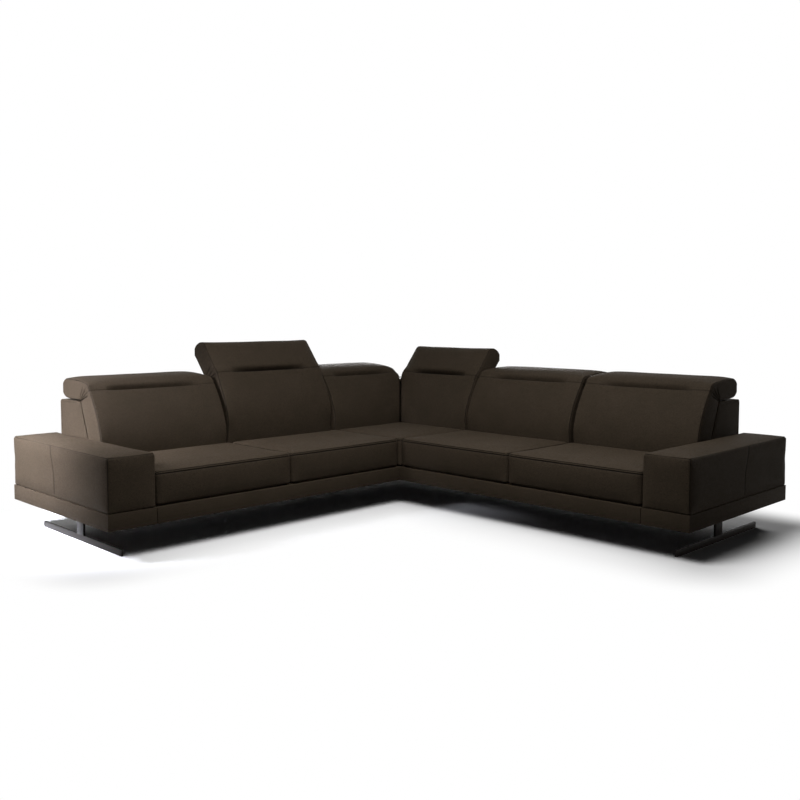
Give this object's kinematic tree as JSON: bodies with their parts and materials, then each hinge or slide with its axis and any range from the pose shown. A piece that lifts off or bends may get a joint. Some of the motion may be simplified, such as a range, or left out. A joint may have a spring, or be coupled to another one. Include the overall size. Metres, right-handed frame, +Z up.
{
  "type": "corner sofa",
  "caption": "Leather corner sofa of two equal wings, low padded arms on a plinth with flat metal sled legs, lifting backrests and tilting headrests.",
  "frame": {"origin": "on the floor, under the middle of the sofa's bounding box", "axes": "+Z up; the right wing runs along X and its seats face -Y; the left wing runs along Y and its seats face +X; the outer back corner is at -X, +Y"},
  "size_m": [2.85, 2.85, 0.9575],
  "materials": {
    "leather": "satin",
    "cushion_leather": "satin",
    "timber": "matte",
    "webbing": "matte",
    "dust_cloth": "matte",
    "leg_metal": "satin",
    "steel": "satin",
    "foot_plastic": "matte"
  },
  "bodies": {
    "frame": {"plinth_rails_right": "leather", "plinth_rails_left": "leather", "cross_rails": "timber", "corner_deck": "timber", "seat_webbing": "webbing", "dust_covers": "dust_cloth", "arm_cover_right": "leather", "arm_cover_left": "leather", "arm_frames": "timber", "plinth_arm_right": "leather", "plinth_arm_left": "leather", "sled_leg_right": "leg_metal", "sled_leg_left": "leg_metal", "leg_bolts": "steel", "support_feet": "foot_plastic", "seat_cushion_corner": "cushion_leather", "seat_cushion_right_inner": "cushion_leather", "seat_cushion_right_outer": "cushion_leather", "seat_cushion_left_inner": "cushion_leather", "seat_cushion_left_outer": "cushion_leather", "back_shell_right": "leather", "back_shell_left": "leather", "back_ribs": "timber", "guide_sleeves": "steel"},
    "backrest_right_corner": {"back_cushion_right_corner": "cushion_leather", "back_board_right_corner": "timber", "lift_rods_right_corner": "steel", "hinge_bases_right_corner": "steel"},
    "headrest_right_corner": {"headrest_pad_right_corner": "cushion_leather", "headrest_frame_right_corner": "steel"},
    "backrest_right_middle": {"back_cushion_right_middle": "cushion_leather", "back_board_right_middle": "timber", "lift_rods_right_middle": "steel", "hinge_bases_right_middle": "steel"},
    "headrest_right_middle": {"headrest_pad_right_middle": "cushion_leather", "headrest_frame_right_middle": "steel"},
    "backrest_right_outer": {"back_cushion_right_outer": "cushion_leather", "back_board_right_outer": "timber", "lift_rods_right_outer": "steel", "hinge_bases_right_outer": "steel"},
    "headrest_right_outer": {"headrest_pad_right_outer": "cushion_leather", "headrest_frame_right_outer": "steel"},
    "backrest_left_corner": {"back_cushion_left_corner": "cushion_leather", "back_board_left_corner": "timber", "lift_rods_left_corner": "steel", "hinge_bases_left_corner": "steel"},
    "headrest_left_corner": {"headrest_pad_left_corner": "cushion_leather", "headrest_frame_left_corner": "steel"},
    "backrest_left_middle": {"back_cushion_left_middle": "cushion_leather", "back_board_left_middle": "timber", "lift_rods_left_middle": "steel", "hinge_bases_left_middle": "steel"},
    "headrest_left_middle": {"headrest_pad_left_middle": "cushion_leather", "headrest_frame_left_middle": "steel"},
    "backrest_left_outer": {"back_cushion_left_outer": "cushion_leather", "back_board_left_outer": "timber", "lift_rods_left_outer": "steel", "hinge_bases_left_outer": "steel"},
    "headrest_left_outer": {"headrest_pad_left_outer": "cushion_leather", "headrest_frame_left_outer": "steel"}
  },
  "joints": [
    {"name": "lift_right_corner", "type": "slide", "parent": "frame", "child": "backrest_right_corner", "axis": [0, 0.3746, 0.9272], "range_m": [0, 0.06]},
    {"name": "tilt_right_corner", "type": "hinge", "parent": "backrest_right_corner", "child": "headrest_right_corner", "pos_m": [0, 1.17057, 0.714], "axis": [1, 0, 0], "range_deg": [-50, 10]},
    {"name": "lift_right_middle", "type": "slide", "parent": "frame", "child": "backrest_right_middle", "axis": [0, 0.3746, 0.9272], "range_m": [0, 0.06]},
    {"name": "tilt_right_middle", "type": "hinge", "parent": "backrest_right_middle", "child": "headrest_right_middle", "pos_m": [0, 1.17057, 0.714], "axis": [1, 0, 0], "range_deg": [0, 60]},
    {"name": "lift_right_outer", "type": "slide", "parent": "frame", "child": "backrest_right_outer", "axis": [0, 0.3746, 0.9272], "range_m": [0, 0.06]},
    {"name": "tilt_right_outer", "type": "hinge", "parent": "backrest_right_outer", "child": "headrest_right_outer", "pos_m": [0, 1.17057, 0.714], "axis": [1, 0, 0], "range_deg": [0, 60]},
    {"name": "lift_left_corner", "type": "slide", "parent": "frame", "child": "backrest_left_corner", "axis": [-0.3746, 0, 0.9272], "range_m": [0, 0.06]},
    {"name": "tilt_left_corner", "type": "hinge", "parent": "backrest_left_corner", "child": "headrest_left_corner", "pos_m": [-1.17057, 0, 0.714], "axis": [0, 1, 0], "range_deg": [0, 60]},
    {"name": "lift_left_middle", "type": "slide", "parent": "frame", "child": "backrest_left_middle", "axis": [-0.3746, 0, 0.9272], "range_m": [-0.06, 0]},
    {"name": "tilt_left_middle", "type": "hinge", "parent": "backrest_left_middle", "child": "headrest_left_middle", "pos_m": [-1.19304, 0, 0.76963], "axis": [0, 1, 0], "range_deg": [-50, 10]},
    {"name": "lift_left_outer", "type": "slide", "parent": "frame", "child": "backrest_left_outer", "axis": [-0.3746, 0, 0.9272], "range_m": [0, 0.06]},
    {"name": "tilt_left_outer", "type": "hinge", "parent": "backrest_left_outer", "child": "headrest_left_outer", "pos_m": [-1.17057, 0, 0.714], "axis": [0, 1, 0], "range_deg": [0, 60]}
  ]
}
